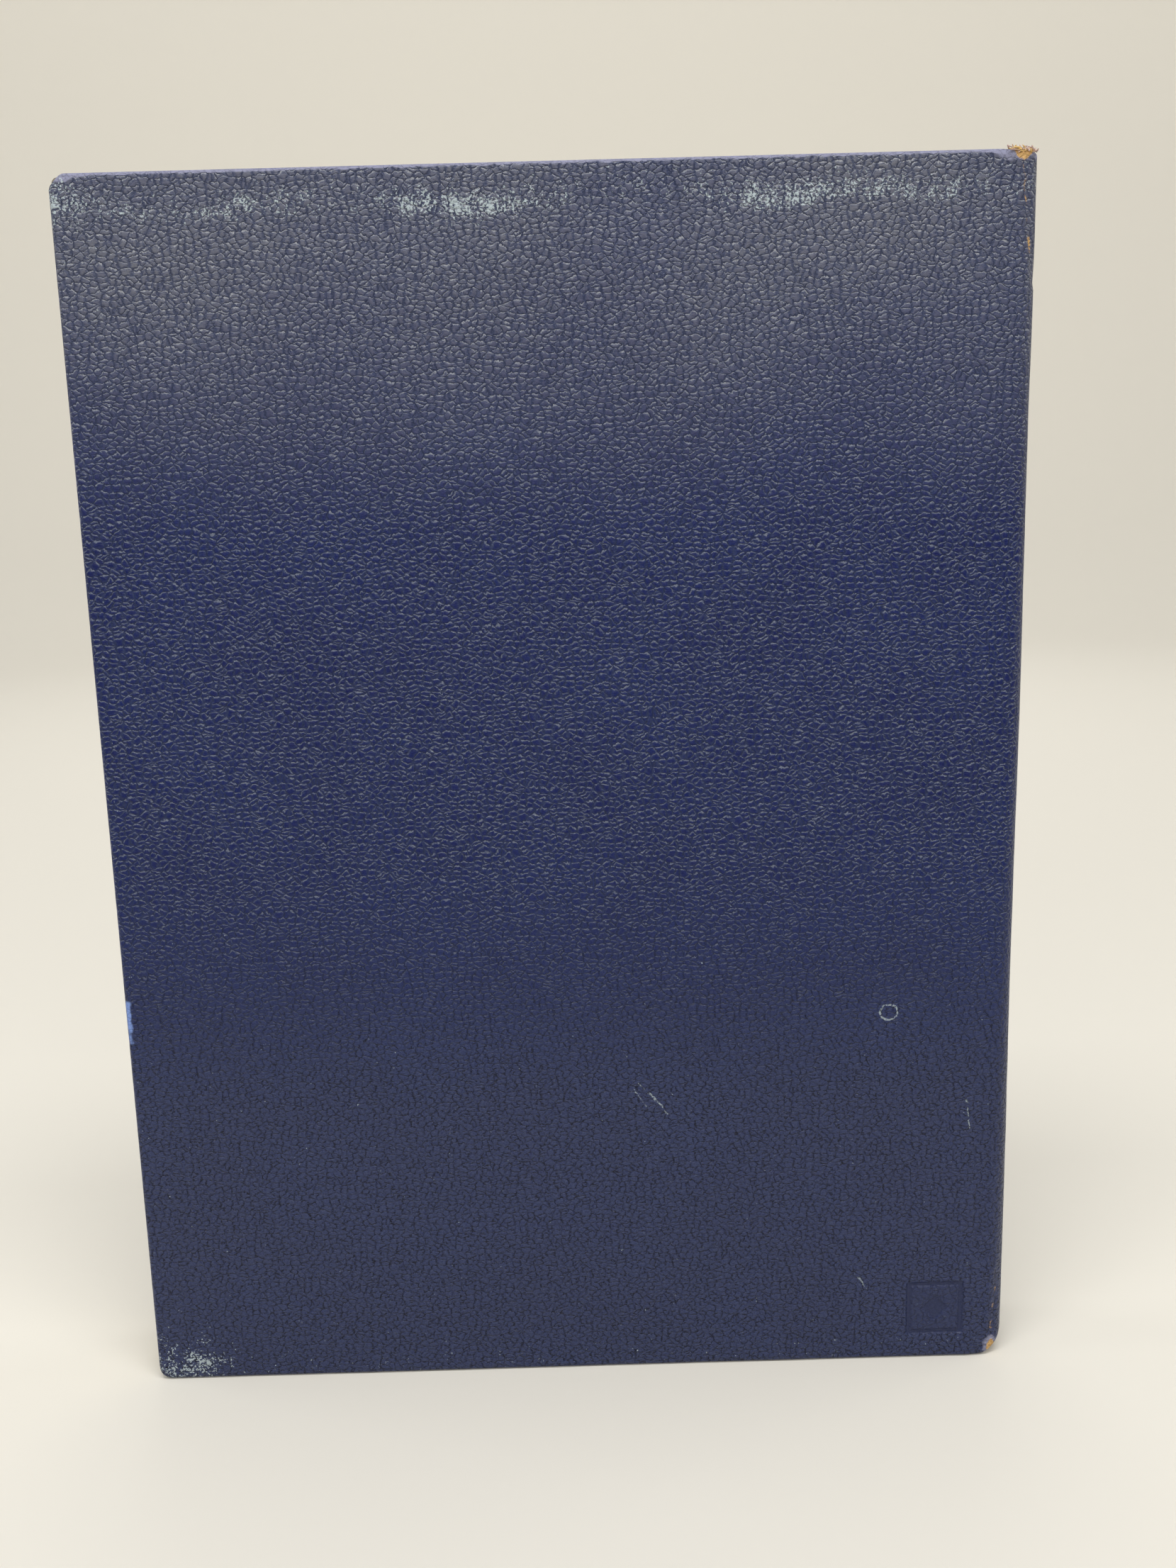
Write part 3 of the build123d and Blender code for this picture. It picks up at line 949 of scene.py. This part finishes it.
def stranded(name, colour, dark):
    """Twisted linen thread."""
    s = Shader(name)
    place = s.object_place()
    parts = s.parts(place)
    twist = s.math("SINE", s.times(s.add(s.times(parts[2], 3.0), s.times(parts[1], 9.0)), 1.6))
    tone = s.blend(s.step(twist, -0.6, 0.6), dark, colour)
    return s.surface(tone, 0.7, s.bump(twist, 0.06), Sheen_Weight=0.2)


def dress_frame():
    """Gives the plain inner pieces their materials."""
    board = fibrous("grey_binders_board", srgb(150, 143, 130), srgb(112, 104, 92), 1.2)
    card = fibrous("infill_card", srgb(206, 196, 172), srgb(176, 164, 138), 0.9)
    kraft = fibrous("kraft_paper", srgb(172, 134, 92), srgb(142, 106, 70), 0.8)
    gauze = woven("mull_gauze", srgb(226, 220, 204), srgb(150, 140, 120), 1.1, 0.12)
    tape = woven("linen_tape", srgb(220, 208, 180), srgb(170, 156, 128), 0.5, 0.10)
    thread = stranded("linen_thread", srgb(232, 224, 202), srgb(190, 178, 150))
    band = woven("striped_band_cloth", srgb(222, 214, 194), srgb(176, 166, 142), 0.45, 0.12,
                 srgb(34, 52, 110))
    kinds = {"_board": board, "spine_card": board, "_infill": card, "kraft_lining": kraft, "mull": gauze,
             "tape": tape, "sewing_thread": thread, "_band": band}
    for name, node in frame["nodes"].items():
        for key, material in kinds.items():
            if key in name:
                node.data.materials.clear()
                node.data.materials.append(material)


# ---- Sheets ----

def pillowed_slab(name, columns, rows, height_at, thickness, side):
    """A thin closed sheet over a grid of x and z, whose face towards the block is at height_at(x, z)."""
    points = [Vector((x, side * height_at(x, z), z)) for x in columns for z in rows]
    piece = mesh_piece(name, points, grid_faces(len(columns), len(rows), flip=side < 0))
    apply_modifier(piece, "SOLIDIFY", thickness=thickness, offset=-1.0)
    store_rest(piece)
    return piece


def make_pastedown(prefix, side, material):
    """The endpaper glued inside a cover, lightly cockled over the turn-ins."""
    low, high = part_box(prefix + "_pastedown")
    inner = min(abs(low.y), abs(high.y))

    def height_at(x, z):
        edge = min(x - FORE_X, z, HEIGHT - z)
        step = smoothstep(edge, TURN_IN - 0.8 * MM, TURN_IN + 0.8 * MM) * 0.07 * MM
        return inner + step + 0.02 * MM * (1 + wave(x, side, z, 24 * MM, 11.0))

    columns = evenly(low.x, high.x, 2.5 * MM)
    rows = evenly(low.z, high.z, 2.5 * MM)
    piece = pillowed_slab(prefix + "_pastedown_paper", columns, rows, height_at, -LEAF_SKIN, side)
    piece.data.materials.append(material)
    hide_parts(prefix + "_pastedown")
    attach(piece, prefix + "_cover")


def make_leaf(node, side, material):
    """A leaf, its columns closer together near the gutter and its free part lightly waved."""
    low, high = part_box(node)
    middle = (abs(low.y) + abs(high.y)) / 2
    seed = float(sum(map(ord, node)) % 97)

    def height_at(x, z):
        free = smoothstep(-x, -high.x, -high.x + 60 * MM)
        return middle - 0.05 * MM + 0.022 * MM * free * wave(x, side, z, 50 * MM, seed)

    bend_start = high.x - LEAF_BEND
    columns = joined(evenly(low.x, bend_start, 5 * MM), evenly(bend_start, high.x, 0.8 * MM))
    rows = evenly(low.z + 0.1 * MM * (seed % 3), high.z - 0.1 * MM * (seed % 4), 6 * MM)
    piece = pillowed_slab(node + "_sheet", columns, rows, height_at, -LEAF_SKIN, side)
    piece.data.materials.append(material)
    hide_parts(node)
    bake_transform(piece)


def slab_faces(start, columns, rows):
    """(flat faces, rim faces) of a slab whose points from start are one grid and then the other."""
    other = columns * rows
    flat = grid_faces(columns, rows, start=start)
    flat += grid_faces(columns, rows, flip=True, start=start + other)
    rim = [start + j for j in range(rows)]
    rim += [start + k * rows + rows - 1 for k in range(1, columns)]
    rim += [start + (columns - 1) * rows + j for j in range(rows - 2, -1, -1)]
    rim += [start + k * rows for k in range(columns - 2, 0, -1)]
    edges = zip(rim, rim[1:] + rim[:1])
    return flat, [(a, b, b + other, a + other) for a, b in edges]


def make_section(number, paper, edges):
    """A sewn section as its separate folded sheets, each a little out of line with the next."""
    node = "section_" + str(number)
    low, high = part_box(node)
    pitch = (high.y - low.y) / SHEETS_SHOWN
    thickness = 0.80 * pitch
    back_radius2 = BACK_RADIUS ** 2
    shoulder_reach = math.sqrt(back_radius2 - BLOCK_DEPTH ** 2)
    rng = random.Random(1000 + number)
    points, faces, on_edge = [], [], []
    for i in range(SHEETS_SHOWN):
        y = low.y + (i + 0.5) * pitch
        reach = math.sqrt(back_radius2 - min(abs(y), BLOCK_DEPTH) ** 2)
        x0 = BLOCK_FORE_X + reach - shoulder_reach + rng.uniform(0, 0.35) * MM
        x1 = BACK_CENTRE_X + reach
        z0 = low.z + rng.uniform(0, 0.22) * MM
        z1 = high.z - rng.uniform(0, 0.22) * MM
        calm = fading(abs(y), 0.75 * BLOCK_DEPTH, BLOCK_DEPTH)
        columns = evenly(x0, x1, 16 * MM)
        rows = evenly(z0, z1, 12 * MM)
        start = len(points)
        for face in (0, 1):
            for x in columns:
                for z in rows:
                    lift = 0.10 * MM * calm * wave(x, 0, z, 70 * MM, 1.0)
                    points.append(Vector((x, y + (face - 0.5) * thickness + lift, z)))
        flat, rim = slab_faces(start, len(columns), len(rows))
        faces += flat + rim
        on_edge += [0] * len(flat) + [1] * len(rim)
    piece = mesh_piece(node + "_sheets", points, faces, smooth=False)
    store_rest(piece)
    piece.data.materials.append(paper)
    piece.data.materials.append(edges)
    piece.data.polygons.foreach_set("material_index", on_edge)
    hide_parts(node)
    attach(piece, "text_block")


def make_joint_linings(prefix, side, material):
    """The cloth inside a joint: one strip on the cover, one from the block's shoulder to the spine."""
    arc_radius = JOINT_RADIUS - 1.75 * MM
    route = [(BOARD_EDGE_X - 1.2 * MM, 8.78 * MM), (BOARD_EDGE_X + 0.3 * MM, 8.85 * MM),
             (BOARD_EDGE_X + 0.9 * MM, 9.4 * MM), (BOARD_EDGE_X + 1.7 * MM, 10.0 * MM)]
    for i in range(9):
        turn = math.radians(90 - 9 * i)
        x = JOINT_CENTRE_X + arc_radius * math.cos(turn)
        route.append((x, HINGE_DEPTH + arc_radius * math.sin(turn)))
    strip = lining_strip(prefix + "_joint_lining", route, side, material)
    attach(strip, prefix + "_cover")
    shoulder_x = LEAF_HINGE.x - 0.4 * MM
    route = [(shoulder_x, 6.9 * MM), (shoulder_x + 0.8 * MM, 6.45 * MM), (shoulder_x + 2.0 * MM, 6.25 * MM),
             (shoulder_x + 3.4 * MM, 6.35 * MM), (SPINE_X - 1.0 * MM, 6.6 * MM)]
    strip = lining_strip(prefix + "_shoulder_lining", route, side, material)
    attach(strip, "text_block")


def lining_strip(name, route, side, material):
    """A strip of cloth that stands along a route of (x, depth), between head and tail."""
    rows = evenly(BLOCK_TAIL + 1.5 * MM, BLOCK_HEAD - 1.5 * MM, 4 * MM)
    points = [Vector((x, side * depth, z)) for x, depth in route for z in rows]
    strip = mesh_piece(name, points, grid_faces(len(route), len(rows), flip=side < 0))
    apply_modifier(strip, "SOLIDIFY", thickness=0.12 * MM, offset=0.0)
    store_rest(strip)
    strip.data.materials.append(material)
    return strip


def joint_cloth():
    """Fine navy bookcloth that lines the joints."""
    s = Shader("joint_cloth")
    place = s.attribute("rest")
    parts = s.parts(place)
    along = s.math("SINE", s.times(parts[2], CLOTH_RATE))
    across = s.math("SINE", s.times(s.add(parts[0], parts[1]), CLOTH_RATE))
    threads = s.most(along, across)
    mottled = s.noise(place, 9.0, 3.0)
    tone = s.blend(s.step(mottled, 0.35, 0.75), srgb(38, 46, 84), srgb(54, 62, 100))
    return s.surface(tone, 0.8, s.bump(threads, 0.05), Sheen_Weight=0.3)


# ---- Frayed head corner ----

THREADS = 44
THREAD_STEPS = 7
THREAD_SIDES = 5


def thread_tube(start, base, lean, curl, reach, width):
    """(points, faces) of one short thread that curls over and thins towards its end."""
    points, faces = [], []
    for i in range(THREAD_STEPS):
        t = i / (THREAD_STEPS - 1)
        centre = base + lean * (reach * t) + curl * (reach * 0.8 * t * t)
        ahead = (lean + curl * (1.1 * t)).normalized()
        across = ahead.orthogonal().normalized()
        other = ahead.cross(across)
        size = width * (1 - 0.45 * t)
        for j in range(THREAD_SIDES):
            turn = 2 * math.pi * j / THREAD_SIDES
            points.append(centre + (across * math.cos(turn) + other * math.sin(turn)) * size)
    for i in range(THREAD_STEPS - 1):
        ring = start + i * THREAD_SIDES
        for j in range(THREAD_SIDES):
            a, b = ring + j, ring + (j + 1) % THREAD_SIDES
            faces.append((a, b, b + THREAD_SIDES, a + THREAD_SIDES))
    last = start + (THREAD_STEPS - 1) * THREAD_SIDES
    faces.append(tuple(start + j for j in range(THREAD_SIDES))[::-1])
    faces.append(tuple(last + j for j in range(THREAD_SIDES)))
    return points, faces


def make_frayed_threads():
    """Loose threads of the leather's backing at the worn head corner of the spine."""
    rng = random.Random(7)
    points, faces = [], []
    for k in range(THREADS):
        base = Vector((rng.uniform(SPINE_X - 6.4 * MM, SPINE_X - 1.0 * MM),
                       -OUTER + rng.uniform(0.4, 2.4) * MM, HEIGHT - rng.uniform(0.2, 0.8) * MM))
        lean = Vector((rng.uniform(-1.0, 0.5), rng.uniform(-0.5, 0.5), rng.uniform(0.1, 0.9))).normalized()
        curl = Vector((rng.uniform(-1, 1), rng.uniform(-1, 1), rng.uniform(-0.9, 0.2)))
        reach = rng.uniform(0.8, 1.7) * MM * (1.6 if k % 9 == 0 else 1.0)
        width = rng.uniform(0.12, 0.26) * MM
        tube_points, tube_faces = thread_tube(len(points), base, lean, curl, reach, width)
        points += tube_points
        faces += tube_faces
    piece = mesh_piece("frayed_head_threads", points, faces)
    store_rest(piece)
    s = Shader("frayed_thread")
    tone = s.step(s.noise(s.attribute("rest"), 1.2, 2.0), 0.4, 0.62)
    colour = s.blend(tone, srgb(206, 170, 96), srgb(176, 150, 150))
    piece.data.materials.append(s.surface(colour, 0.8, Sheen_Weight=0.3))
    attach(piece, "back_cover")


def make_inside():
    """Everything between the covers."""
    paper, edges, end = ruled_paper(), page_edges(), end_paper()
    cloth = joint_cloth()
    for prefix, side in (("back", -1), ("front", 1)):
        make_pastedown(prefix, side, end)
        make_joint_linings(prefix, side, cloth)
        make_leaf(prefix + "_flyleaf", side, end)
        for number in range(1, 5):
            make_leaf(prefix + "_leaf_" + str(number), side, paper)
    for number in range(1, 9):
        make_section(number, paper, edges)


# ---- Camera, stage and light ----

CAMERA_PLACE = Vector((3.6 * MM, -337.6 * MM, 211.8 * MM))
CAMERA_RIGHT = Vector((0.9996, -0.0103, -0.0265))
CAMERA_AHEAD = Vector((0.0046, 0.9785, -0.2060))
CAMERA_LENS = 34.6


def make_camera():
    data = bpy.data.cameras.new("camera")
    data.sensor_width = 36.0
    data.lens = CAMERA_LENS
    data.clip_start = 0.01
    camera = bpy.data.objects.new("camera", data)
    bpy.context.scene.collection.objects.link(camera)
    ahead = CAMERA_AHEAD.normalized()
    right = (CAMERA_RIGHT - ahead * CAMERA_RIGHT.dot(ahead)).normalized()
    up = right.cross(ahead)
    rotation = Matrix((right, up, -ahead)).transposed().to_4x4()
    camera.matrix_world = Matrix.Translation(CAMERA_PLACE) @ rotation
    bpy.context.scene.camera = camera


def stage_material():
    s = Shader("pale_stage")
    return s.surface(srgb(228, 225, 217), 0.8, Specular_IOR_Level=0.1)


def make_stage():
    """A pale floor that curves up far away all round."""
    flat, bend, rings, spokes = 1.5, 0.9, 14, 96
    profile = [(0.0, 0.0), (0.5, 0.0), (1.0, 0.0), (flat, 0.0)]
    for i in range(1, rings + 1):
        turn = math.pi / 2 * i / rings
        profile.append((flat + bend * math.sin(turn), bend * (1 - math.cos(turn))))
    profile.append((flat + bend, 2.2))
    points = []
    for i in range(spokes):
        turn = 2 * math.pi * i / spokes
        points += [Vector((r * math.cos(turn), r * math.sin(turn), z)) for r, z in profile]
    faces = []
    count = len(profile)
    for i in range(spokes):
        other = (i + 1) % spokes
        for j in range(count - 1):
            a, b = i * count + j, other * count + j
            faces.append((a, a + 1, b + 1, b) if j else (a, a + 1, b + 1))
    stage = mesh_piece("stage", points, faces)
    stage.data.materials.append(stage_material())


BOOK_MIDDLE = (0, 0, 0.15)
SOFT_WHITE = (1.0, 0.99, 0.97)


def area_light(name, place, size, power, target=BOOK_MIDDLE, colour=SOFT_WHITE):
    data = bpy.data.lights.new(name, "AREA")
    data.shape = "RECTANGLE"
    data.size, data.size_y = size
    data.energy = power
    data.color = colour
    light = bpy.data.objects.new(name, data)
    bpy.context.scene.collection.objects.link(light)
    light.location = place
    light.rotation_euler = (Vector(target) - Vector(place)).to_track_quat("-Z", "Y").to_euler()


def make_light():
    area_light("overhead", (0.0, -0.30, 0.95), (0.7, 0.22), 5.4)
    area_light("front", (0.0, -1.3, 0.76), (1.7, 0.62), 8.2)
    area_light("left", (-1.2, 0.1, 0.8), (0.7, 0.9), 3.0)
    area_light("right", (1.2, 0.3, 0.9), (0.7, 0.9), 2.5)
    area_light("behind", (0.0, 1.1, 1.0), (1.1, 0.6), 2.5)
    area_light("wall", (0.0, 0.8, 1.5), (1.8, 0.5), 14.0, target=(0, 2.3, 0.7), colour=(1.0, 0.98, 0.95))
    world = bpy.data.worlds.new("world")
    bpy.context.scene.world = world
    world.use_nodes = True
    background = world.node_tree.nodes["Background"]
    background.inputs[0].default_value = (1.0, 0.99, 0.975, 1.0)
    background.inputs[1].default_value = 0.32


def make_flag(name, corners):
    """A black card in front of the book, which only reflections see, like the dark side of a room."""
    flag = mesh_piece(name, corners, [(0, 1, 2, 3)])
    flag.visible_camera = False
    flag.visible_diffuse = False
    flag.visible_shadow = False
    flag.data.materials.append(Shader(name).surface((0.01, 0.01, 0.01, 1.0), 0.9))


def make_flags():
    near, far, half, top = -0.36, -0.85, 1.0, 0.40
    make_flag("floor_flag", [(-half, near, MM), (half, near, MM), (half, far, MM), (-half, far, MM)])
    make_flag("front_flag", [(-half, far, MM), (half, far, MM), (half, far, top), (-half, far, top)])


bpy.context.scene.view_settings.view_transform = "Standard"
make_camera()
make_stage()
make_light()
make_flags()
dress_frame()
make_covering(leather_material())
make_inside()
make_frayed_threads()
